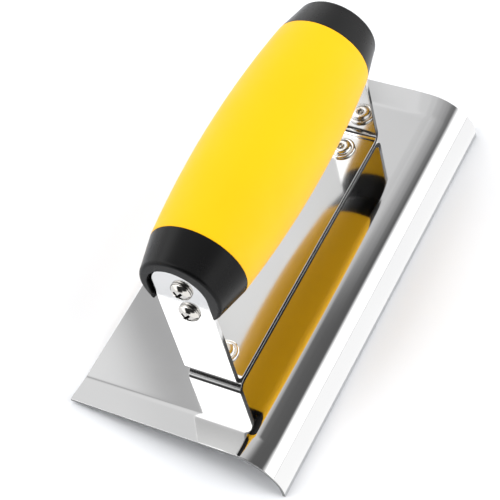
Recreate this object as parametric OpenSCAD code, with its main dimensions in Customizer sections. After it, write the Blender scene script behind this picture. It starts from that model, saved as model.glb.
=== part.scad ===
// Hand edging trowel: a rolled-edge steel blade with a barrel grip on a riveted strap.
// Millimetres. +X runs along the blade, +Z is up, and the rolled edge lies towards -Y.
// The origin is the centre of the outer box at the height of the lip's lower edge.

/* [Blade] */
// Length of the blade
blade_l = 150; // [120:1:200]
// Width of the blade over the roll
blade_w = 72.6; // [66:0.2:110]
// Thickness of the blade sheet
sheet_t = 1.2; // [0.8:0.1:2]
// Inside radius of the rolled edge
roll_r = 12.7; // [8:0.1:14]
// Depth of the lip below the top of the blade
lip_h = 15.4; // [15.2:0.1:20]
// Length of the lifted strip at each end
end_l = 10; // [10:0.5:14]
// Height that each end strip rises
end_rise = 1.1; // [0.2:0.1:1.1]
// Width over which the lift fades out before the roll
fade_w = 12; // [6:0.5:16]

/* [Bracket] */
// Width of the strap
strap_w = 18.5; // [16:0.5:20]
// Thickness of the strap
strap_t = 1.6; // [1.2:0.1:2]
// Distance over the outer faces of the two legs
bracket_l = 105.4; // [100:0.2:110]
// Inside radius of the two bends
bend_r = 2.2; // [1.5:0.1:3]
// Distance of the strap's centre line from the blade's centre line
strap_y = -2.8; // [-5:0.1:0]
// Height of the handle axis above the blade
axis_h = 47.5; // [44:0.1:52]
// Distance of the handle axis from the strap's centre line
handle_side = -0.9; // [-1.5:0.1:0.5]
// Height of the legs' round tops above the handle axis, at their centres
arch_up = -0.6; // [-1.5:0.1:0.8]

/* [Rivets] */
// Distance between the two rivets
rivet_gap = 86.4; // [70:0.2:88]
// Shank diameter
rivet_d = 4.8; // [4:0.1:5]
// Diameter of the flush head in the sole
rivet_head_d = 8; // [7:0.1:9]
// Diameter of the hole down the shank
rivet_hole_d = 2.2; // [1.8:0.1:2.6]
// Diameter of the rolled collar
collar_d = 6.6; // [6:0.1:7.4]
// Diameter of the washer
washer_d = 9; // [8.4:0.1:12]
// Thickness of the washer
washer_t = 0.8; // [0.6:0.1:1.2]

/* [Handle] */
// Length of the grip sleeve
grip_l = 84.2; // [80:0.2:88]
// Diameter at the middle of the grip
grip_mid_d = 37.4; // [34:0.2:42]
// Diameter at the ends of the grip
grip_end_d = 32.2; // [30:0.2:33]
// Length of each end cap
cap_l = 11.9; // [11.6:0.1:13]
// Diameter of each cap just before its rounded end
cap_end_d = 27.2; // [27:0.1:29]
// Radius of the cap's rounded end
cap_round = 0.8; // [0.6:0.1:1.5]
// Thickness of the cap wall behind the leg
cap_floor = 1.5; // [1:0.1:2]
// Clearance around the leg in its recess
recess_gap = 0.8; // [0.4:0.1:1]
// Diameter of the core inside the grip
core_d = 26; // [25.8:0.2:26.6]
// Width of the core's keys
key_w = 3; // [2:0.2:4]
// Height of the core's keys
key_h = 1.2; // [0.8:0.1:1.6]

/* [Screws] */
// Head diameter
screw_head_d = 7; // [6.6:0.1:8]
// Head height
screw_head_h = 2.6; // [1.8:0.1:2.8]
// Shank diameter
screw_d = 3.5; // [3.3:0.1:4.2]
// Length under the head
screw_l = 16; // [12:0.5:20]
// Distance between the two screws in a leg
screw_gap = 10.8; // [9.5:0.1:11]
// Height of the upper screw above the handle axis
screw_up = 0.1; // [0:0.1:1.5]
// Sideways distance of the screws from the strap's centre line
screw_side = -1; // [-1.5:0.1:1.5]

/* [Hidden] */
$fn = 96;
steel = [0.82, 0.83, 0.84];
bright = [0.9, 0.9, 0.88];
roll_out = roll_r + sheet_t;
plate_z = lip_h;
sole_z = plate_z - sheet_t;
left_y = blade_w / 2;
roll_y = -blade_w / 2 + roll_out;
fade_y = roll_y + fade_w;
axis_z = plate_z + axis_h;
handle_y = strap_y + handle_side;
arch_z = axis_z + arch_up;
leg_x = bracket_l / 2;
leg_in = leg_x - strap_t;
strap_top = plate_z + strap_t;
core_l = 2 * (leg_in - cap_floor);
seam_x = grip_l / 2;
cap_x = seam_x + cap_l;
taper_x = cap_x - cap_round;
bow = (grip_mid_d - grip_end_d) / 2;
bow_r = (seam_x * seam_x + bow * bow) / (2 * bow);
seam_cut = 0.5;
screw_hi = axis_z + screw_up;
screw_lo = screw_hi - screw_gap;
rivet_x = rivet_gap / 2;
sink_h = 1;

// ---- helpers -------------------------------------------------------------------------------

// Extrudes an X-Z outline from y0 to y1.
module along_y(y0, y1) translate([0, y1, 0]) rotate([90, 0, 0]) linear_extrude(y1 - y0) children();

// Extrudes a Y-Z outline from x0 to x1.
module along_x(x0, x1) translate([x0, 0, 0]) rotate([90, 0, 90]) linear_extrude(x1 - x0) children();

// Turns a shape made along +Z so that it runs along +X on the handle axis.
module on_axis() translate([0, handle_y, axis_z]) rotate([0, 90, 0]) children();

// Puts a shape made for the far end at the near end too, or there instead.
module at_near() mirror([1, 0, 0]) children();

// ---- blade ---------------------------------------------------------------------------------

// Side view of the sheet, with its end strips lifted by rise.
function sheet_side(rise) = let (e = blade_l / 2, b = e - end_l) [
    [-e, plate_z + rise], [-b, plate_z], [b, plate_z], [e, plate_z + rise],
    [e, sole_z + rise], [b, sole_z], [-b, sole_z], [-e, sole_z + rise]];

// The part of the sheet where the lift fades out, between two side views.
module fade() {
    a = [for (p = sheet_side(end_rise)) [p[0], fade_y, p[1]]];
    b = [for (p = sheet_side(0)) [p[0], roll_y, p[1]]];
    n = len(a);
    sides = [for (i = [0 : n - 1]) [i, (i + 1) % n, n + (i + 1) % n, n + i]];
    near = [for (i = [0 : n - 1]) n - 1 - i];
    far = [for (i = [0 : n - 1]) n + i];
    polyhedron(points = concat(a, b), faces = concat([near, far], sides), convexity = 4);
}

// End view of the rolled edge: a quarter ring, then a short straight lip.
module roll_outline() {
    translate([roll_y, plate_z - roll_out]) difference() {
        circle(r = roll_out);
        circle(r = roll_r);
        translate([0, -2 * roll_out]) square(4 * roll_out);
        translate([-2 * roll_out, -4 * roll_out]) square(4 * roll_out);
    }
    translate([-blade_w / 2, 0]) square([sheet_t, plate_z - roll_out]);
}

// Countersunk hole for one rivet.
module rivet_hole(x) translate([x, strap_y, 0]) {
    translate([0, 0, sole_z - 1]) cylinder(d = rivet_d, h = sheet_t + 2);
    translate([0, 0, sole_z]) cylinder(d1 = rivet_head_d, d2 = rivet_d, h = sink_h);
}

module blade() color(steel) difference() {
    union() {
        along_y(fade_y, left_y) polygon(sheet_side(end_rise));
        fade();
        along_x(-blade_l / 2, blade_l / 2) roll_outline();
    }
    rivet_hole(rivet_x);
    rivet_hole(-rivet_x);
}

// ---- bracket -------------------------------------------------------------------------------

// Quarter ring of the strap at one bend, for the far end.
module strap_bend() translate([leg_in - bend_r, strap_top + bend_r]) difference() {
    circle(r = bend_r + strap_t);
    circle(r = bend_r);
    translate([-40, -20]) square(40);
    translate([-20, 0]) square(40);
}

// Half of the strap's side view.
module strap_half() {
    foot = leg_in - bend_r;
    translate([-0.01, plate_z]) square([foot + 0.01, strap_t]);
    strap_bend();
    translate([leg_in, strap_top + bend_r]) square([strap_t, axis_h + strap_w]);
}

// End view of the strap, with the round top of the legs.
module leg_outline() {
    translate([strap_y - strap_w / 2, 0]) square([strap_w, arch_z]);
    translate([strap_y, arch_z]) circle(d = strap_w);
}

module handle_bracket() color(steel) difference() {
    intersection() {
        along_y(strap_y - strap_w, strap_y + strap_w) {
            strap_half();
            mirror([1, 0]) strap_half();
        }
        along_x(-blade_l, blade_l) leg_outline();
    }
    for (x = [-rivet_x, rivet_x])
        translate([x, strap_y, plate_z - 1]) cylinder(d = rivet_d, h = strap_t + 2);
    for (z = [screw_lo, screw_hi])
        translate([-leg_x - 1, strap_y + screw_side, z])
            rotate([0, 90, 0]) cylinder(d = screw_d, h = bracket_l + 2);
}

// ---- rivets and washers --------------------------------------------------------------------

// A tubular rivet: flush head in the sole, shank, and a collar rolled over the washer.
module rivet(x) {
    seat = strap_top + washer_t;
    lap = (collar_d - rivet_hole_d) / 4;
    color(bright) translate([x, strap_y, 0]) difference() {
        union() {
            translate([0, 0, sole_z]) cylinder(d1 = rivet_head_d, d2 = rivet_d, h = sink_h);
            translate([0, 0, sole_z]) cylinder(d = rivet_d, h = seat - sole_z);
            translate([0, 0, seat]) rotate_extrude() intersection() {
                translate([rivet_hole_d / 2 + lap, 0]) circle(r = lap);
                square(collar_d);
            }
        }
        translate([0, 0, seat - 2.4]) cylinder(d = rivet_hole_d, h = 5);
    }
}

module washer(x) color(bright) translate([x, strap_y, strap_top]) rotate_extrude() polygon([
    [rivet_d / 2, 0], [washer_d / 2, 0], [washer_d / 2, washer_t / 2],
    [washer_d / 2 - washer_t / 2, washer_t], [rivet_d / 2, washer_t]]);

module rivet_near() rivet(-rivet_x);
module rivet_far() rivet(rivet_x);
module washer_near() washer(-rivet_x);
module washer_far() washer(rivet_x);

// ---- handle --------------------------------------------------------------------------------

// The four keys that stop the grip from turning on the core.
module keys() for (a = [45 : 90 : 315])
    rotate([0, 0, a]) translate([0, -key_w / 2, -seam_x + 4])
        cube([core_d / 2 + key_h, key_w, grip_l - 8]);

// Pilot holes for the screws in the core.
module pilots() for (z = [screw_lo, screw_hi], s = [-1, 1])
    translate([s > 0 ? leg_x - screw_l : -leg_x - 1, strap_y + screw_side, z])
        rotate([0, 90, 0]) cylinder(d = screw_d, h = screw_l + 1);

module handle_core() color([0.16, 0.16, 0.17]) difference() {
    on_axis() union() {
        translate([0, 0, -core_l / 2]) cylinder(d = core_d, h = core_l);
        keys();
    }
    pilots();
}

// Half section of the grip: a bowed outside, small bevels at the ends, and the bore.
module grip_outline() difference() {
    intersection() {
        translate([grip_mid_d / 2 - bow_r, 0]) circle(r = bow_r, $fn = 720);
        translate([core_d / 2, -seam_x]) square([grip_mid_d, grip_l]);
    }
    for (s = [-1, 1]) translate([grip_end_d / 2, s * seam_x]) rotate(45)
        square(seam_cut * sqrt(2), center = true);
}

module grip_sleeve() color([1, 0.86, 0.1]) on_axis() difference() {
    rotate_extrude() grip_outline();
    keys();
}

// Half section of a cap: tapered wall, rounded end and the floor behind the leg.
module cap_outline() {
    r = cap_end_d / 2;
    difference() {
        union() {
            polygon([[0, seam_x], [grip_end_d / 2 - seam_cut, seam_x],
                     [grip_end_d / 2 - 0.05, seam_x + seam_cut], [r, taper_x], [0, taper_x]]);
            translate([0, taper_x - 0.001]) square([r - cap_round, cap_round + 0.001]);
            intersection() {
                translate([r - cap_round, taper_x]) circle(r = cap_round);
                translate([r - cap_round - 0.001, taper_x - 0.001]) square(2 * cap_round);
            }
        }
        translate([-1, seam_x - 1]) square([core_d / 2 + 1, core_l / 2 - seam_x + 1]);
    }
}

// The recess that holds the top of a leg, open at the bottom.
module leg_recess() along_x(leg_in, cap_x + 1) {
    translate([strap_y, arch_z]) circle(d = strap_w + 2 * recess_gap);
    translate([strap_y - strap_w / 2 - recess_gap, 0]) square([strap_w + 2 * recess_gap, arch_z]);
}

module cap() color([0.1, 0.1, 0.11]) difference() {
    on_axis() rotate_extrude() cap_outline();
    leg_recess();
    pilots();
}

module end_cap_far() cap();
module end_cap_near() at_near() cap();

// ---- screws --------------------------------------------------------------------------------

// A pan-head screw with a cross recess, along +X, with its head against the leg's outer face.
module screw(z) {
    dome_r = 0.62 * screw_head_d;
    tip = 2.5;
    color(bright) translate([leg_x, strap_y + screw_side, z]) rotate([0, 90, 0]) difference() {
        union() {
            rotate_extrude() intersection() {
                translate([0, screw_head_h - dome_r]) circle(r = dome_r, $fn = 240);
                square([screw_head_d / 2, screw_head_h]);
            }
            translate([0, 0, tip - screw_l]) cylinder(d = screw_d, h = screw_l - tip);
            translate([0, 0, -screw_l]) cylinder(d1 = 0.6, d2 = screw_d, h = tip);
        }
        for (a = [45, 135]) rotate([0, 0, a]) translate([-2.2, -0.45, screw_head_h - 1.5])
            cube([4.4, 0.9, 2]);
    }
}

module screw_far_upper() screw(screw_hi);
module screw_far_lower() screw(screw_lo);
module screw_near_upper() at_near() screw(screw_hi);
module screw_near_lower() at_near() screw(screw_lo);

blade();
handle_bracket();
rivet_near();
rivet_far();
washer_near();
washer_far();
handle_core();
grip_sleeve();
end_cap_near();
end_cap_far();
screw_near_upper();
screw_near_lower();
screw_far_upper();
screw_far_lower();
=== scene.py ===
"""The looks of a hand edging trowel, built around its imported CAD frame.

Metres. +X runs along the blade, +Z is up, and the rolled edge lies towards -Y.
"""

import math

import bmesh
import bpy
from mathutils import Matrix, Vector


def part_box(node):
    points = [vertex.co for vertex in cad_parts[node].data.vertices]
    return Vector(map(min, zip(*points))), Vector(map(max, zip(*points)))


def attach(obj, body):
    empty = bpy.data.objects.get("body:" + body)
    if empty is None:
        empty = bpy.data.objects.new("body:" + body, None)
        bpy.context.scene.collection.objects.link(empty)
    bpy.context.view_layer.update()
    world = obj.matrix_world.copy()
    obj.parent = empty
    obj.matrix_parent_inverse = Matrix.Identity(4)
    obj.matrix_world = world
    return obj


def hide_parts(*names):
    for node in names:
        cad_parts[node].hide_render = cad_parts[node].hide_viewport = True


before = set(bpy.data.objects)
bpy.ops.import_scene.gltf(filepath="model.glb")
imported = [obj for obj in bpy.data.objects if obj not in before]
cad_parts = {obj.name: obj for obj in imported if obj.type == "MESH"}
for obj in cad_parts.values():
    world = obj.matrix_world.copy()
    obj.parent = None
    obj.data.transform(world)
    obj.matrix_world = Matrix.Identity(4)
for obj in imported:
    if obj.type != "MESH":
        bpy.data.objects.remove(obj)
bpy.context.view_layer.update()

MM = 0.001
ENDS = {"near": -1, "far": 1}

# ---- sizes the frame doesn't give --------------------------------------------------------------

SHEET_T = 1.2 * MM          # thickness of the blade sheet
ROLL_IN = 12.7 * MM         # inside radius of the rolled edge
END_L = 9.3 * MM            # length of the lifted strip at each end
FADE_W = 9 * MM             # width over which the lift fades out, past the start of the roll
FADE_IN = 7 * MM            # how far before the roll the fade starts at the far end
CREASE = 1 * MM             # half width of the crease where an end strip starts
SHEET_EDGE = 0.15 * MM      # rounding of the sheet's edges
BESIDE_BEND = 0.3 * MM      # stretch of flat beside a bend that keeps the rest evenly shaded
SINK_H = 1 * MM             # depth of the countersink for a rivet

BEND_IN = 2.2 * MM          # inside radius of the strap's bends
STRAP_EDGE = 0.18 * MM      # rounding of the strap's edges

RIVET_D = 4.8 * MM          # shank of a rivet
RIVET_HEAD_D = 8 * MM       # its flush head in the sole
RIVET_HOLE_D = 2.2 * MM     # hole in its top
RIVET_HOLE_H = 2.4 * MM     # depth of the hole below the washer's top
WASHER_RIM = 0.55 * MM      # rounding of a washer's rim

CORE_D = 26 * MM            # the handle's core
GRIP_END_D = 32.2 * MM      # grip at its two ends
SEAM_CUT = 0.12 * MM        # bevel at each seam between grip and cap
SEAM_ROUND = 0.08 * MM      # rounding of that bevel on the grip
CAP_END_D = 27.2 * MM       # cap at its outer end
CAP_ROUND = 1.2 * MM        # rounding of a cap's outer rim
CAP_FLOOR = 1.5 * MM        # cap wall behind the leg
RECESS_GAP = 0.8 * MM       # clearance round the leg in its recess
RECESS_EDGE = 0.3 * MM      # rounding of the recess rim

SHANK_D = 3.5 * MM          # shank of a screw
POINT_L = 2.5 * MM          # its point
DOME_R = 4.34 * MM          # radius of its domed head
HEAD_ROUND = 0.9 * MM       # rounding of the head's rim
CROSS_L = 4.4 * MM          # span of the cross recess near the top of the head
CROSS_W = 0.95 * MM         # width of its slots there
CROSS_H = 1.5 * MM          # its depth below the top of the head
CROSS_EDGE = 0.07 * MM      # rounding of its rim

FIT_GAP = 0.02 * MM         # gap that keeps two touching pieces apart
SAME_POINT = 0.001 * MM     # points nearer than this are merged
ROUND_STEPS = 4             # faces across a rounded edge
BEND_STEPS = 16             # faces round a bend of the strap
ARCH_STEPS = 32             # faces along half of a leg's round top
ARC_STEPS = 48              # faces along a wide arc
RECESS_REACH = 1.2 * MM     # how far the shade in a recess looks for a wall
STAGE_REACH = 1.0           # how far the floor goes each way

# ---- sizes and places from the frame -----------------------------------------------------------

blade_lo, blade_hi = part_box("blade")
strap_lo, strap_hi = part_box("handle_bracket")
grip_lo, grip_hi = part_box("grip_sleeve")
_, cap_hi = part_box("end_cap_far")
washer_lo, washer_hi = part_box("washer_far")
_, rivet_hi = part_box("rivet_far")

plate_z = strap_lo.z                     # top of the blade
sole_z = plate_z - SHEET_T
roll_out = ROLL_IN + SHEET_T
roll_y = blade_lo.y + roll_out           # where the flat ends and the roll starts
half_l = blade_hi.x
end_rise = blade_hi.z - plate_z
strap_t = washer_lo.z - plate_z
strap_y = (strap_lo.y + strap_hi.y) / 2
strap_r = (strap_hi.y - strap_lo.y) / 2
leg_x = strap_hi.x                       # outside of a leg
leg_in = leg_x - strap_t
arch_z = strap_hi.z - strap_r            # where a leg's round top starts
handle_mid = Vector((0, (grip_lo.y + grip_hi.y) / 2, (grip_lo.z + grip_hi.z) / 2))
grip_mid_r = (grip_hi.z - grip_lo.z) / 2
seam_x = grip_hi.x                       # where the grip meets a cap
cap_x = cap_hi.x
rivet_x = (washer_lo.x + washer_hi.x) / 2


# ---- mesh helpers ------------------------------------------------------------------------------

def add_mesh(name, points, faces, material):
    """A new smooth-shaded object, with doubled points merged and its faces turned outwards."""
    mesh = bpy.data.meshes.new(name)
    mesh.from_pydata([tuple(p) for p in points], [], faces)
    edit = bmesh.new()
    edit.from_mesh(mesh)
    bmesh.ops.remove_doubles(edit, verts=edit.verts, dist=SAME_POINT)
    bmesh.ops.recalc_face_normals(edit, faces=edit.faces)
    for face in edit.faces:
        face.smooth = True
    edit.to_mesh(mesh)
    edit.free()
    obj = bpy.data.objects.new(name, mesh)
    bpy.context.scene.collection.objects.link(obj)
    if material:
        mesh.materials.append(material)
    return obj


def loft(name, loops, material, closed=True, ends=None):
    """Joins equal loops of points with quads. closed joins the last loop to the first.

    ends closes the first and last loop: "face" with one face, "strip" with quads across them.
    """
    count = len(loops[0])
    last = (len(loops) - 1) * count
    points = [p for loop in loops for p in loop]
    faces = []
    for a in range(len(loops) if closed else len(loops) - 1):
        b = (a + 1) % len(loops)
        for i in range(count):
            j = (i + 1) % count
            faces.append((a * count + i, a * count + j, b * count + j, b * count + i))
    for start in (0, last):
        if ends == "face":
            faces.append(tuple(range(start, start + count)))
        if ends == "strip":
            faces += [tuple(start + k for k in (i, i + 1, count - 2 - i, count - 1 - i))
                      for i in range(count // 2 - 1)]
    return add_mesh(name, points, faces, material)


def revolve(name, profile, origin, along, material, segments=96):
    """Turns a closed profile of (distance along, radius) points about an axis."""
    along = Vector(along).normalized()
    side = along.orthogonal().normalized()
    up = along.cross(side)
    loops = []
    for i in range(segments):
        turn = 2 * math.pi * i / segments
        out = side * math.cos(turn) + up * math.sin(turn)
        loops.append([Vector(origin) + along * d + out * r for d, r in profile])
    return loft(name, loops, material)


def arc(centre, radius, start, end, steps):
    """Points (x, y) on an arc, with angles in degrees and both ends included."""
    turns = [math.radians(start + (end - start) * i / steps) for i in range(steps + 1)]
    return [(centre[0] + radius * math.cos(t), centre[1] + radius * math.sin(t)) for t in turns]


def apply_modifiers(obj):
    """Makes what the modifiers do part of the mesh."""
    bpy.context.view_layer.update()
    shown = obj.evaluated_get(bpy.context.evaluated_depsgraph_get())
    mesh = bpy.data.meshes.new_from_object(shown)
    obj.modifiers.clear()
    obj.data = mesh


def cut(obj, *tools):
    """Takes the tools' shapes out of obj, and removes the tools."""
    for tool in tools:
        modifier = obj.modifiers.new("Cut", "BOOLEAN")
        modifier.operation = "DIFFERENCE"
        modifier.solver = "EXACT"
        modifier.object = tool
        apply_modifiers(obj)
        bpy.data.objects.remove(tool)


def soften(obj, width, segments=2, angle=40):
    """Rounds the sharp edges, and keeps the large faces flat in the shading."""
    obj.data.set_sharp_from_angle(angle=math.radians(angle))
    bevel = obj.modifiers.new("Bevel", "BEVEL")
    bevel.width = width
    bevel.segments = segments
    bevel.limit_method = "ANGLE"
    bevel.angle_limit = math.radians(angle)
    bevel.miter_outer = "MITER_ARC"
    normals = obj.modifiers.new("WeightedNormal", "WEIGHTED_NORMAL")
    normals.weight = 100
    normals.keep_sharp = False


def weigh_normals(obj):
    """Keeps large faces flat in the shading where small rounded ones meet them."""
    normals = obj.modifiers.new("WeightedNormal", "WEIGHTED_NORMAL")
    normals.weight = 50
    normals.keep_sharp = True


def settle(obj, node):
    """The piece stands for the CAD node."""
    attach(obj, "root")
    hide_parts(node)
    return obj


# ---- materials ---------------------------------------------------------------------------------

def new_material(name, color, metallic, roughness):
    """A material with a Principled shader."""
    material = bpy.data.materials.new(name)
    material.use_nodes = True
    shader = shader_of(material)
    shader.inputs["Base Color"].default_value = (*color, 1)
    shader.inputs["Metallic"].default_value = metallic
    shader.inputs["Roughness"].default_value = roughness
    return material


def shader_of(material):
    """The Principled shader of a material."""
    return material.node_tree.nodes["Principled BSDF"]


def noise(material, scale, detail=2.0, stretch=(1, 1, 1), roughness=0.5):
    """A noise value in object space, with scale in cells per metre."""
    nodes = material.node_tree.nodes
    links = material.node_tree.links
    place = nodes.new("ShaderNodeTexCoord")
    mapping = nodes.new("ShaderNodeMapping")
    mapping.inputs["Scale"].default_value = stretch
    texture = nodes.new("ShaderNodeTexNoise")
    texture.inputs["Scale"].default_value = scale
    texture.inputs["Detail"].default_value = detail
    texture.inputs["Roughness"].default_value = roughness
    links.new(place.outputs["Object"], mapping.inputs["Vector"])
    links.new(mapping.outputs["Vector"], texture.inputs["Vector"])
    return texture.outputs["Fac"]


def remap(material, value, low, high, start=0.3, end=0.7):
    """Maps a value that runs from start to end onto low to high."""
    node = material.node_tree.nodes.new("ShaderNodeMapRange")
    node.inputs["From Min"].default_value = start
    node.inputs["From Max"].default_value = end
    node.inputs["To Min"].default_value = low
    node.inputs["To Max"].default_value = high
    material.node_tree.links.new(value, node.inputs["Value"])
    return node.outputs["Result"]


def blend_color(material, value, first, second):
    """The first colour where the value is 0, and the second where it is 1."""
    node = material.node_tree.nodes.new("ShaderNodeMix")
    node.data_type = "RGBA"
    node.inputs["A"].default_value = (*first, 1)
    node.inputs["B"].default_value = (*second, 1)
    material.node_tree.links.new(value, node.inputs["Factor"])
    return node.outputs["Result"]


def add_bump(material, height, distance, below=None):
    """A bump of that height in metres, on top of another bump."""
    node = material.node_tree.nodes.new("ShaderNodeBump")
    node.inputs["Distance"].default_value = distance
    material.node_tree.links.new(height, node.inputs["Height"])
    if below:
        material.node_tree.links.new(below, node.inputs["Normal"])
    return node.outputs["Normal"]


def paint_edge_shade(material, facing, foot, head, below):
    """Paints the cut faces that look along the axis facing in a grey of their own: painted shade.

    foot and head are (grey, height) pairs, and the grey changes evenly between the two heights.
    """
    nodes = material.node_tree.nodes
    links = material.node_tree.links
    place = nodes.new("ShaderNodeSeparateXYZ")
    links.new(nodes.new("ShaderNodeTexCoord").outputs["Object"], place.inputs["Vector"])
    grey = remap(material, place.outputs["Z"], foot[0], head[0], start=foot[1], end=head[1])
    split = nodes.new("ShaderNodeSeparateXYZ")
    links.new(nodes.new("ShaderNodeNewGeometry").outputs["True Normal"], split.inputs["Vector"])
    size = nodes.new("ShaderNodeMath")
    size.operation = "ABSOLUTE"
    links.new(split.outputs[facing], size.inputs[0])
    share = remap(material, size.outputs["Value"], 0, 1, start=0.9, end=0.97)
    node = nodes.new("ShaderNodeMix")
    node.data_type = "RGBA"
    links.new(grey, node.inputs["B"])
    links.new(share, node.inputs["Factor"])
    links.new(below, node.inputs["A"])
    return node.outputs["Result"]


def steel(name, light, dark, smooth, rough, wave, scratch, grain=(0.03, 1, 1), edge_shade=None):
    """Polished steel: slow waves and fine polishing lines in the surface, and hazy patches.

    The colour runs from light to dark and the roughness from smooth to rough. wave and scratch
    are heights, and grain stretches the scratches. edge_shade holds the painted shade for the cut faces.
    """
    material = new_material(name, light, 1.0, smooth)
    shader = shader_of(material)
    links = material.node_tree.links
    haze = noise(material, 45, detail=4)
    links.new(remap(material, haze, smooth, rough), shader.inputs["Roughness"])
    tone = remap(material, noise(material, 18, detail=3), 0, 1)
    color = blend_color(material, tone, light, dark)
    # Painted shade on the cut faces: a grey of its own that can change with height.
    if edge_shade:
        color = paint_edge_shade(material, *edge_shade, color)
    links.new(color, shader.inputs["Base Color"])
    slow = add_bump(material, noise(material, 22, detail=0), wave)
    lines = noise(material, 2600, detail=3, stretch=grain)
    links.new(add_bump(material, lines, scratch, slow), shader.inputs["Normal"])
    return material


def paint_recess_shade(material, bright):
    """Paints shade into narrow recesses, such as a screw's cross: painted shade, darkest where walls are
    near.
    """
    nodes = material.node_tree.nodes
    links = material.node_tree.links
    base = shader_of(material).inputs["Base Color"]
    below = base.links[0].from_socket
    hollow = nodes.new("ShaderNodeAmbientOcclusion")
    hollow.only_local = True
    hollow.inputs["Distance"].default_value = RECESS_REACH
    share = remap(material, hollow.outputs["AO"], 0, 1, start=0.45, end=0.85)
    node = nodes.new("ShaderNodeMix")
    node.data_type = "RGBA"
    node.inputs["A"].default_value = (bright, bright, bright, 1)
    links.new(share, node.inputs["Factor"])
    links.new(below, node.inputs["B"])
    links.new(node.outputs["Result"], base)


def moulded(name, light, dark, smooth, rough, grain_size, grain_height):
    """Moulded rubber or plastic: a fine even grain, and slow changes of tone and sheen."""
    material = new_material(name, light, 0.0, smooth)
    shader = shader_of(material)
    links = material.node_tree.links
    tone = remap(material, noise(material, 35, detail=4), 0, 1)
    links.new(blend_color(material, tone, light, dark), shader.inputs["Base Color"])
    sheen = noise(material, 120, detail=5)
    links.new(remap(material, sheen, smooth, rough), shader.inputs["Roughness"])
    grain = noise(material, 1 / grain_size, detail=4, roughness=0.6)
    links.new(add_bump(material, grain, grain_height), shader.inputs["Normal"])
    return material


def blade_steel():
    """Mirror-polished sheet, whose cut end faces carry one grey of painted shade."""
    return steel("blade_steel", light=(0.675, 0.675, 0.675), dark=(0.65, 0.65, 0.655),
                 smooth=0.035, rough=0.07, wave=0.012 * MM, scratch=0.0006 * MM,
                 edge_shade=("X", (0.2, 0), (0.2, plate_z)))


def strap_steel():
    """Polished strap, whose cut edges carry painted shade near the blade, fading out up the legs."""
    return steel("strap_steel", light=(0.70, 0.70, 0.695), dark=(0.67, 0.67, 0.67),
                 smooth=0.06, rough=0.10, wave=0.008 * MM, scratch=0.0006 * MM,
                 edge_shade=("Y", (0.12, plate_z + 2 * strap_t), (0.7, plate_z + 4 * strap_t)))


def fastener_steel(name, light, dark, smooth, rough):
    """The steel of a small turned piece, with painted shade in its recesses."""
    material = steel(name, light, dark, smooth, rough, wave=0.001 * MM, scratch=0.0002 * MM,
                     grain=(1, 1, 1))
    # Painted shade in the recesses, down to a grey of 0.05 where they are deepest.
    paint_recess_shade(material, 0.05)
    return material


def rivet_steel():
    """Bright, slightly dull plating."""
    return fastener_steel("rivet_steel", (0.86, 0.85, 0.82), (0.78, 0.77, 0.75), 0.15, 0.22)


def screw_steel():
    """Smoother and a little darker than the rivets."""
    return fastener_steel("screw_steel", (0.66, 0.64, 0.61), (0.58, 0.56, 0.53), 0.04, 0.08)


def grip_rubber():
    """Soft matt yellow, with a faint sheen at grazing angles."""
    material = moulded("grip_rubber", light=(0.80, 0.42, 0.003), dark=(0.77, 0.40, 0.003),
                       smooth=0.5, rough=0.62, grain_size=0.45 * MM, grain_height=0.005 * MM)
    shader = shader_of(material)
    shader.inputs["Specular IOR Level"].default_value = 0.14
    shader.inputs["Sheen Weight"].default_value = 0.25
    shader.inputs["Sheen Roughness"].default_value = 0.3
    return material


def cap_plastic():
    """Black, with a soft sheen."""
    material = moulded("cap_plastic", light=(0.0022, 0.0022, 0.0024), dark=(0.003, 0.003, 0.0032),
                       smooth=0.24, rough=0.32, grain_size=0.35 * MM, grain_height=0.002 * MM)
    shader_of(material).inputs["Specular IOR Level"].default_value = 0.14
    return material


def core_plastic():
    """Plain dark grey, hidden inside the grip."""
    return moulded("core_plastic", light=(0.03, 0.03, 0.032), dark=(0.04, 0.04, 0.042),
                   smooth=0.4, rough=0.5, grain_size=0.6 * MM, grain_height=0.01 * MM)


MATERIALS = (blade_steel, strap_steel, rivet_steel, screw_steel, grip_rubber, cap_plastic, core_plastic)
materials = {make.__name__: make() for make in MATERIALS}


# ---- blade -------------------------------------------------------------------------------------

def lift(x, y):
    """How far the sheet is lifted at a point, by the strips at its two ends."""
    past = abs(x) - (half_l - END_L)
    if past <= -CREASE:
        ramp = 0
    elif past < CREASE:
        ramp = (past + CREASE) ** 2 / (4 * CREASE)
    else:
        ramp = past
    fade_in = FADE_IN if x > 0 else 0
    share = min(max((y - roll_y + FADE_W) / (FADE_W + fade_in), 0), 1)
    return end_rise / END_L * ramp * share * share * (3 - 2 * share)


def sheet_path():
    """The outside of the sheet's section, from its left edge to the foot of the lip.

    Each point is (y, z, turn), and turn is 0 on the flat and a right angle on the lip.
    """
    fade_steps = 8
    flat = [blade_hi.y - 2 * SHEET_EDGE, blade_hi.y / 2, 0]
    flat += [roll_y + FADE_IN * step / fade_steps + BESIDE_BEND for step in range(fade_steps, -1, -1)]
    path = [(y, plate_z, 0) for y in flat]
    for y, z in arc((roll_y, plate_z - roll_out), roll_out, 90, 180, ARC_STEPS):
        path.append((y, z, math.atan2(roll_y - y, z - plate_z + roll_out)))
    path.append((blade_lo.y, plate_z - roll_out - BESIDE_BEND / 2, math.pi / 2))
    return path


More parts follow.
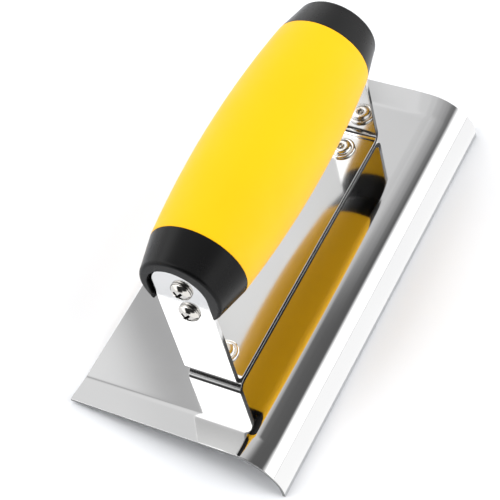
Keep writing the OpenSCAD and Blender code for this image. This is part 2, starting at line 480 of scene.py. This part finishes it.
def sheet_loop(x, inset):
    """The closed section of the sheet at x, drawn in by inset where an end face is rounded off."""
    path = sheet_path()
    top = [(y + inset * math.sin(turn), z - inset * math.cos(turn)) for y, z, turn in path]
    depth = SHEET_T - inset
    under = [(y + depth * math.sin(turn), z - depth * math.cos(turn)) for y, z, turn in path]
    edge = SHEET_EDGE - inset * 0.5
    left = blade_hi.y - inset
    foot = blade_lo.z + inset
    high, low = plate_z - inset, plate_z - depth
    out, into = blade_lo.y + inset, blade_lo.y + depth
    outline = arc((left - edge, high - edge), edge, 0, 90, ROUND_STEPS) + top
    outline += arc((out + edge, foot + edge), edge, 180, 270, ROUND_STEPS)
    outline += arc((into - edge, foot + edge), edge, 270, 360, ROUND_STEPS) + under[::-1]
    outline += arc((left - edge, low + edge), edge, 270, 360, ROUND_STEPS)
    return [Vector((x, y, z + lift(x, y))) for y, z in outline]


def blade_stations():
    """Places along the blade, with the section's inset there, close together at the creases."""
    crease = half_l - END_L
    half = [0, crease * 0.45, crease * 0.9, crease - 2 * CREASE]
    half += [crease + CREASE * step / 3 for step in range(-3, 4)]
    half += [crease + 2 * CREASE, half_l - 3 * MM, half_l - 2 * SHEET_EDGE]
    half = [(x, 0) for x in half]
    for x, inset in arc((half_l - SHEET_EDGE, SHEET_EDGE), SHEET_EDGE, 270, 360, ROUND_STEPS):
        half.append((x, inset))
    return [(-x, inset) for x, inset in reversed(half[1:])] + half


def rivet_hole(side):
    """The shape taken out of the blade by one countersunk rivet, wider below the sole."""
    slope = (RIVET_HEAD_D - RIVET_D) / 2 / SINK_H
    profile = [(-SHEET_T, 0), (-SHEET_T, RIVET_HEAD_D / 2 + SHEET_T * slope),
               (SINK_H, RIVET_D / 2), (2 * SHEET_T, RIVET_D / 2), (2 * SHEET_T, 0)]
    origin = (side * rivet_x, strap_y, sole_z)
    return revolve("hole", profile, origin, (0, 0, 1), None, segments=64)


def make_blade():
    """The rolled sheet, with a countersunk hole for each rivet."""
    loops = [sheet_loop(x, inset) for x, inset in blade_stations()]
    blade = loft("blade_sheet", loops, materials["blade_steel"], closed=False, ends="strip")
    cut(blade, *[rivet_hole(side) for side in ENDS.values()])
    weigh_normals(blade)
    return settle(blade, "blade")


# ---- bracket -----------------------------------------------------------------------------------

def strap_stations():
    """Places along the outside of the strap: (x, z, turn of the inward normal, arch angle)."""
    out = BEND_IN + strap_t
    foot = leg_x - out
    side = math.pi / 2
    half = [(foot - BESIDE_BEND, plate_z, 0, 0)]
    for step in range(BEND_STEPS + 1):
        turn = side * step / BEND_STEPS
        half.append((foot + out * math.sin(turn), plate_z + out - out * math.cos(turn), turn, 0))
    half += [(leg_x, plate_z + out + BESIDE_BEND, side, 0), (leg_x, (plate_z + arch_z) / 2, side, 0)]
    half += [(leg_x, arch_z, side, side * step / ARCH_STEPS) for step in range(ARCH_STEPS + 1)]
    near = [(-x, z, -turn, rise) for x, z, turn, rise in reversed(half)]
    return near + [(0, plate_z, 0, 0)] + half


def strap_corners():
    """The strap's rounded section as (side, inset from the edge, depth from the outside)."""
    edge = STRAP_EDGE
    corner = [(edge * (1 - math.cos(t)), edge * (1 - math.sin(t)))
              for t in (math.pi / 2 * step / ROUND_STEPS for step in range(ROUND_STEPS + 1))]
    outer = [(1, inset, depth) for inset, depth in corner]
    inner = [(1, inset, strap_t - depth) for inset, depth in reversed(corner)]
    return inner + outer + [(-side, inset, depth) for side, inset, depth in (inner + outer)[::-1]]


def make_bracket():
    """The bent strap: a base on the blade, and two legs with round tops."""
    loops = []
    for x, z, turn, rise in strap_stations():
        loop = []
        for side, inset, depth in strap_corners():
            reach = strap_r - inset
            loop.append(Vector((x - depth * math.sin(turn), strap_y + side * reach * math.cos(rise),
                                z + depth * math.cos(turn) + reach * math.sin(rise))))
        loops.append(loop)
    bracket = loft("strap_bracket", loops, materials["strap_steel"], closed=False)
    weigh_normals(bracket)
    return settle(bracket, "handle_bracket")


# ---- rivets and washers ------------------------------------------------------------------------

def make_rivet(name, side):
    """A tubular rivet: flush head in the sole, shank, and a collar rolled over the washer."""
    head_r = RIVET_HEAD_D / 2
    edge_w, edge_h = 0.2 * MM, 0.12 * MM
    shank_gap = 0.03 * MM
    shank_r = RIVET_D / 2 - shank_gap
    profile = [(sole_z, 0), (sole_z, head_r - edge_w), (sole_z + edge_h, head_r - edge_h),
               (sole_z + SINK_H, shank_r)]
    seat = washer_hi.z
    high = rivet_hi.z - seat
    hole_r = RIVET_HOLE_D / 2
    wide = hole_r + 2 * high
    foot = 0.1 * MM
    profile += [(seat - foot, shank_r), (seat - foot, wide - foot), (seat, wide)]
    for share, drawn in ((0.3, 0.02 * MM), (0.7, 0.2 * MM), (0.92, 0.5 * MM), (1, wide * 0.28)):
        profile.append((seat + share * high, wide - drawn))
    lip = 0.12 * MM
    profile.append((seat + high, hole_r + lip))
    profile += [(seat + high - lip + z, r) for r, z in arc((hole_r + lip, 0), lip, 90, 180, ROUND_STEPS)]
    profile += [(seat - RIVET_HOLE_H + hole_r / 2, hole_r), (seat - RIVET_HOLE_H, 0)]
    rivet = revolve(f"tube_{name}", profile, (side * rivet_x, strap_y, 0), (0, 0, 1),
                    materials["rivet_steel"])
    return settle(rivet, name)


def make_washer(name, side):
    """A flat washer with a rounded rim."""
    outer = (washer_hi.y - washer_lo.y) / 2
    low, high = washer_lo.z, washer_hi.z
    edge_w, edge_h = 0.05 * MM, 0.08 * MM
    profile = [(low, RIVET_D / 2), (low, outer - edge_w), (low + edge_h, outer)]
    profile += [(high - WASHER_RIM + z, r)
                for r, z in arc((outer - WASHER_RIM, 0), WASHER_RIM, 0, 90, 2 * ROUND_STEPS)]
    profile.append((high, RIVET_D / 2))
    washer = revolve(f"flat_{name}", profile, (side * rivet_x, strap_y, 0), (0, 0, 1),
                     materials["rivet_steel"])
    return settle(washer, name)


# ---- handle ------------------------------------------------------------------------------------

def make_grip():
    """The bowed sleeve, with a small rounded bevel at each seam."""
    bow = grip_mid_r - GRIP_END_D / 2
    bow_r = (seam_x ** 2 + bow ** 2) / (2 * bow)
    reach = seam_x - SEAM_CUT
    outside = []
    for step in range(ARC_STEPS + 1):
        x = reach * (2 * step / ARC_STEPS - 1)
        outside.append((x, grip_mid_r - bow_r + math.sqrt(bow_r ** 2 - x ** 2)))
    bore = (CORE_D + FIT_GAP) / 2
    lip = GRIP_END_D / 2 - SEAM_CUT
    profile = [(-seam_x, bore), (-seam_x, lip)] + outside + [(seam_x, lip), (seam_x, bore)]
    grip = revolve("soft_grip", profile, handle_mid, (1, 0, 0), materials["grip_rubber"], segments=128)
    soften(grip, SEAM_ROUND, segments=3, angle=25)
    return settle(grip, "grip_sleeve")


def cap_profile(side):
    """Half section of a cap, from the core's end round the outside and back to the seam."""
    floor_x = leg_in - CAP_FLOOR
    seam_r = GRIP_END_D / 2
    end_r = CAP_END_D / 2
    rim_x, rim_r = seam_x + SEAM_CUT, seam_r - 0.05 * MM
    taper_l = cap_x - CAP_ROUND - rim_x
    taper_steps = 8
    points = [(floor_x, 0), (floor_x, CORE_D / 2), (seam_x, CORE_D / 2), (seam_x, seam_r - SEAM_CUT)]
    for step in range(taper_steps):
        share = step / taper_steps
        points.append((rim_x + share * taper_l, rim_r + share * (end_r - rim_r)))
    points += arc((cap_x - CAP_ROUND, end_r - CAP_ROUND), CAP_ROUND, 90, 0, steps=6)
    points.append((cap_x, 0))
    return [(side * x, r) for x, r in points]


def recess(side):
    """The shape of the recess that takes the top of a leg: an arch, open at the bottom."""
    wide = strap_r + RECESS_GAP
    outline = [(strap_y + wide, 0)] + arc((strap_y, arch_z), wide, 0, 180, ARC_STEPS)
    outline.append((strap_y - wide, 0))
    past_cap = cap_x + 5 * MM
    loops = [[Vector((side * x, y, z)) for y, z in outline] for x in (leg_in, past_cap)]
    return loft("recess", loops, None, closed=False, ends="face")


def make_cap(name, side):
    """A moulded cap over the end of the grip and the core, with its recess for the leg."""
    cap = revolve(f"moulded_{name}", cap_profile(side), handle_mid, (1, 0, 0), materials["cap_plastic"],
                  segments=128)
    cut(cap, recess(side))
    soften(cap, RECESS_EDGE, segments=3, angle=35)
    return settle(cap, name)


def make_core():
    """The core keeps its CAD mesh inside the grip, with a material of its own."""
    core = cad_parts["handle_core"]
    core.data.materials.clear()
    core.data.materials.append(materials["core_plastic"])


# ---- screws ------------------------------------------------------------------------------------

def cross_blades(head_top, origin, along):
    """The two crossed shapes that cut the recess, tapered from above the head to its floor."""
    above = 0.6 * MM
    ends = ((-above, 1.16, 1.072), (CROSS_H, 0.5, 0.775))     # depth, shares of the span and width
    along = Vector(along)
    tools = []
    for angle in (45, 135):
        turn = Matrix.Rotation(math.radians(angle), 3, along)
        span = turn @ Vector((0, 1, 0))
        across = along.cross(span)
        loops = []
        for depth, long, wide in ends:
            centre = Vector(origin) + along * (head_top - depth)
            out = span * (CROSS_L / 2 * long)
            beside = across * (CROSS_W / 2 * wide)
            loops.append([centre + out * a + beside * b for a, b in ((1, 1), (-1, 1), (-1, -1), (1, -1))])
        tools.append(loft("cross", loops, None, closed=False, ends="face"))
    return tools


def head_profile(head_r, head_h):
    """Half section of a pan head, from the leg's face up to the top of the dome."""
    edge = 0.1 * MM
    profile = [(FIT_GAP, 0), (FIT_GAP, head_r - edge), (FIT_GAP + edge, head_r)]
    turn = math.acos((head_r - HEAD_ROUND) / (DOME_R - HEAD_ROUND))
    centre = head_h - DOME_R + (DOME_R - HEAD_ROUND) * math.sin(turn)
    shoulder = arc((head_r - HEAD_ROUND, centre), HEAD_ROUND, 0, math.degrees(turn), steps=10)
    profile += [(x, r) for r, x in shoulder]
    dome_steps = 12
    for step in range(1, dome_steps + 1):
        r = shoulder[-1][0] * (1 - step / dome_steps)
        profile.append((head_h - DOME_R + math.sqrt(DOME_R ** 2 - r ** 2), r))
    return profile


def make_screw(name, side):
    """A cross-recess pan-head screw: its head on the leg, and its shank in the core."""
    low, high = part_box(name)
    origin = (side * leg_x, (low.y + high.y) / 2, (low.z + high.z) / 2)
    along = (side, 0, 0)
    head_h = max(abs(low.x), abs(high.x)) - leg_x
    tip = min(abs(low.x), abs(high.x)) - leg_x
    head = revolve(f"pan_{name}", head_profile((high.z - low.z) / 2, head_h), origin, along,
                   materials["screw_steel"], segments=64)
    cut(head, *cross_blades(head_h, origin, along))
    soften(head, CROSS_EDGE, angle=45)
    settle(head, name)
    shank_r = SHANK_D / 2
    shank = revolve(f"shank_{name}", [(tip, 0), (tip + POINT_L, shank_r), (0, shank_r), (0, 0)],
                    origin, along, materials["screw_steel"], segments=32)
    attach(shank, "root")


# ---- stage -------------------------------------------------------------------------------------

def make_floor():
    """A pale floor that carries the lip and, one step higher, the blade's other long edge."""
    low = -0.02 * MM
    high = sole_z - 0.05 * MM
    rows = [(-STAGE_REACH, low), (blade_lo.y + 1.5 * MM, low), (blade_hi.y, high), (STAGE_REACH, high)]
    points = [(x, y, z) for y, z in rows for x in (-STAGE_REACH, STAGE_REACH)]
    faces = [(2 * i, 2 * i + 1, 2 * i + 3, 2 * i + 2) for i in range(len(rows) - 1)]
    material = new_material("stage_floor", (0.70, 0.71, 0.73), 0.0, 0.7)
    shader_of(material).inputs["Specular IOR Level"].default_value = 0.1
    floor = add_mesh("stage_floor", points, faces, material)
    for face in floor.data.polygons:
        face.use_smooth = False


def glow(name, bright):
    """A plain white material that glows evenly."""
    material = bpy.data.materials.new(name)
    material.use_nodes = True
    nodes = material.node_tree.nodes
    nodes.clear()
    emission = nodes.new("ShaderNodeEmission")
    emission.inputs["Color"].default_value = (1, 1, 1, 1)
    emission.inputs["Strength"].default_value = bright
    out = nodes.new("ShaderNodeOutputMaterial")
    material.node_tree.links.new(emission.outputs["Emission"], out.inputs["Surface"])
    return material


def shown_only(obj, seen_by):
    """Hides a stage piece from every kind of ray but one."""
    for kind in ("camera", "diffuse", "glossy", "transmission", "shadow", "volume_scatter"):
        setattr(obj, f"visible_{kind}", kind == seen_by)


def make_glow_card():
    """A glowing white sheet on the floor beside the rolled edge, shown only in the steel: a painted
    reflection of bright floor.
    """
    near_y = blade_lo.y - 1 * MM
    points = [(x, y, 0) for y in (near_y - STAGE_REACH, near_y) for x in (-STAGE_REACH, STAGE_REACH)]
    # The sheet glows, so the steel mirrors a brighter floor here than the camera sees: a painted
    # reflection.
    card = add_mesh("stage_reflection_glow", points, [(0, 1, 3, 2)], glow("stage_reflection_glow", 1.4))
    shown_only(card, "glossy")


def make_backdrop():
    """A plain pale wall all round, which only the camera sees."""
    wall_r = 2.9
    edit = bmesh.new()
    bmesh.ops.create_uvsphere(edit, u_segments=48, v_segments=24, radius=wall_r)
    mesh = bpy.data.meshes.new("stage_backdrop")
    edit.to_mesh(mesh)
    edit.free()
    wall = bpy.data.objects.new("stage_backdrop", mesh)
    bpy.context.scene.collection.objects.link(wall)
    mesh.materials.append(glow("stage_backdrop", 1.0))
    shown_only(wall, "camera")


class Sky:
    """The studio round the object, as brightness by direction in the world shader."""

    def __init__(self):
        world = bpy.data.worlds.new("studio")
        bpy.context.scene.world = world
        world.use_nodes = True
        self.nodes = world.node_tree.nodes
        self.links = world.node_tree.links
        self.shader = self.nodes["Background"]
        place = self.nodes.new("ShaderNodeTexCoord")
        split = self.nodes.new("ShaderNodeSeparateXYZ")
        self.links.new(place.outputs["Generated"], split.inputs["Vector"])
        self.direction = place.outputs["Generated"]
        self.x, self.y, self.z = (split.outputs[k] for k in "XYZ")

    def dot(self, vector):
        """How far the direction points along a vector."""
        node = self.nodes.new("ShaderNodeVectorMath")
        node.operation = "DOT_PRODUCT"
        node.inputs[1].default_value = vector
        self.links.new(self.direction, node.inputs[0])
        return node.outputs["Value"]

    def step(self, value, start, end, low=0.0, high=1.0, linear=False):
        """A smooth step from low to high as value goes from start to end."""
        node = self.nodes.new("ShaderNodeMapRange")
        node.interpolation_type = "LINEAR" if linear else "SMOOTHSTEP"
        node.inputs["From Min"].default_value = start
        node.inputs["From Max"].default_value = end
        node.inputs["To Min"].default_value = low
        node.inputs["To Max"].default_value = high
        self.links.new(value, node.inputs["Value"])
        return node.outputs["Result"]

    def ramp(self, value, stops):
        """Brightness along a value from -1 to 1, given as (place, brightness) stops."""
        top = max(bright for _, bright in stops)
        node = self.nodes.new("ShaderNodeValToRGB")
        node.color_ramp.interpolation = "EASE"
        points = node.color_ramp.elements
        while len(points) < len(stops):
            points.new(0.5)
        for point, (place, bright) in zip(points, stops):
            point.position = (place + 1) / 2
            point.color = (bright / top, bright / top, bright / top, 1)
        self.links.new(self.step(value, -1, 1, linear=True), node.inputs["Fac"])
        return self.math("MULTIPLY", node.outputs["Color"], top)

    def math(self, operation, first, second):
        """A sum on a socket and a number."""
        node = self.nodes.new("ShaderNodeMath")
        node.operation = operation
        self.links.new(first, node.inputs[0])
        node.inputs[1].default_value = second
        return node.outputs["Value"]

    def mix(self, share, first, second):
        """first where share is 0 and second where it is 1; each is a number or a socket."""
        node = self.nodes.new("ShaderNodeMix")
        node.data_type = "FLOAT"
        for key, value in (("Factor", share), ("A", first), ("B", second)):
            if isinstance(value, (int, float)):
                node.inputs[key].default_value = value
            else:
                self.links.new(value, node.inputs[key])
        return node.outputs["Result"]

    def patch(self, below, direction, half_angle, softness, bright):
        """Lays a soft round patch of that brightness over below."""
        along = self.dot(Vector(direction).normalized())
        inner, outer = (math.cos(math.radians(half_angle + a)) for a in (-softness, softness))
        return self.mix(self.step(along, outer, inner), below, bright)


def make_sky():
    """White walls, and a graded ceiling with a bright key over the near end.

    The steel mirrors it all, and each stop or patch is one tone that shows in a face of the tool.
    """
    sky = Sky()
    wall = 1.7
    gain = 1.06
    across = sky.ramp(sky.dot((0.5, -0.5, 0)), [
        (-1, 1.2), (-0.52, 1.4), (-0.495, 1.45), (-0.475, 3.0), (-0.41, 3.3), (-0.30, 3.0), (-0.25, 1.1),
        (-0.16, 0.6), (-0.075, 0.82), (-0.034, 1.03), (-0.022, 0.8), (-0.013, 0.52), (-0.004, 0.52),
        (0.012, 0.95), (0.05, 0.95), (0.075, 0.86), (0.10, 0.85), (0.14, 0.78), (0.22, 0.75), (1, 0.7)])

    # Towards +X and -Y, which the roll mirrors, the ceiling is darker and graded along Y instead.
    near = sky.ramp(sky.y, [(-0.61, 0.13), (-0.42, 0.14), (-0.19, 0.17), (-0.13, 0.19),
                            (-0.02, 0.58), (0.1, 0.9)])
    far = sky.ramp(sky.y, [(-0.64, 0.13), (-0.52, 0.24), (-0.415, 0.42), (-0.30, 0.51),
                           (-0.06, 0.72), (0.1, 0.85)])
    dark = sky.mix(sky.step(sky.x, 0.46, 0.54), near, far)
    share = sky.mix(sky.step(sky.x, 0.15, 0.35), 0.0, sky.step(sky.y, 0.1, -0.02))
    ceiling = sky.mix(share, across, dark)
    light = sky.mix(sky.step(sky.z, 0.585, 0.43), ceiling, wall)

    # Dark patches above and beside the near end give the screw heads their contrast.
    for direction, half_angle, softness, bright in (((-0.62, -0.52, 0.58), 34, 7, 0.03),
                                                    ((-0.80, 0.1, 0.50), 25, 5, 0.05),
                                                    ((-0.97, 0.05, 0.10), 18, 6, 0.03)):
        light = sky.patch(light, direction, half_angle, softness, bright)

    # A thin grey line just above the horizon.
    line_z, line_half, line_soft = 0.01, 0.006, 0.008
    above = sky.math("ABSOLUTE", sky.math("ADD", sky.z, -line_z), 0)
    light = sky.mix(sky.step(above, line_half + line_soft, line_half), light, 0.6)
    light = sky.math("MULTIPLY", light, gain)
    sky.links.new(light, sky.shader.inputs["Strength"])
    sky.shader.inputs["Color"].default_value = (1, 1, 1, 1)


def make_lights():
    """Two large soft boxes that light the surfaces but don't show in the polished steel."""
    for name, place, size, power in (("soft_top", (-0.3, 0.5, 1.2), 1.0, 8.0),
                                     ("soft_right", (0.2, -1.0, 0.8), 0.8, 13.0)):
        data = bpy.data.lights.new(name, "AREA")
        data.size = size
        data.energy = power
        light = bpy.data.objects.new(name, data)
        light.location = place
        light.rotation_euler = Vector(place).to_track_quat("Z", "Y").to_euler()
        light.visible_glossy = False
        bpy.context.scene.collection.objects.link(light)


def make_camera():
    """A long lens that looks down over the near end and the rolled edge, rolled a little."""
    azimuth, elevation, roll = (math.radians(a) for a in (-49.457, 50.913, -17.414))
    target = Vector((-12.84, 1.04, 30)) * MM
    distance = 570.1 * MM
    data = bpy.data.cameras.new("camera")
    data.lens = 130.82
    data.sensor_width = 36
    data.clip_start = 0.01
    data.clip_end = 20
    camera = bpy.data.objects.new("camera", data)
    bpy.context.scene.collection.objects.link(camera)
    level = math.cos(elevation)
    back = Vector((math.sin(azimuth) * level, -math.cos(azimuth) * level, math.sin(elevation)))
    camera.location = target + back * distance
    camera.rotation_euler = (back.to_track_quat("Z", "Y").to_matrix()
                             @ Matrix.Rotation(roll, 3, "Z")).to_euler()
    bpy.context.scene.camera = camera


# ---- the object and its stage ------------------------------------------------------------------

make_blade()
make_bracket()
for end, side in ENDS.items():
    make_rivet(f"rivet_{end}", side)
    make_washer(f"washer_{end}", side)
    make_cap(f"end_cap_{end}", side)
    for place in ("upper", "lower"):
        make_screw(f"screw_{end}_{place}", side)
make_grip()
make_core()

make_floor()
make_glow_card()
make_backdrop()
make_sky()
make_lights()
make_camera()
bpy.context.scene.view_settings.view_transform = "Standard"
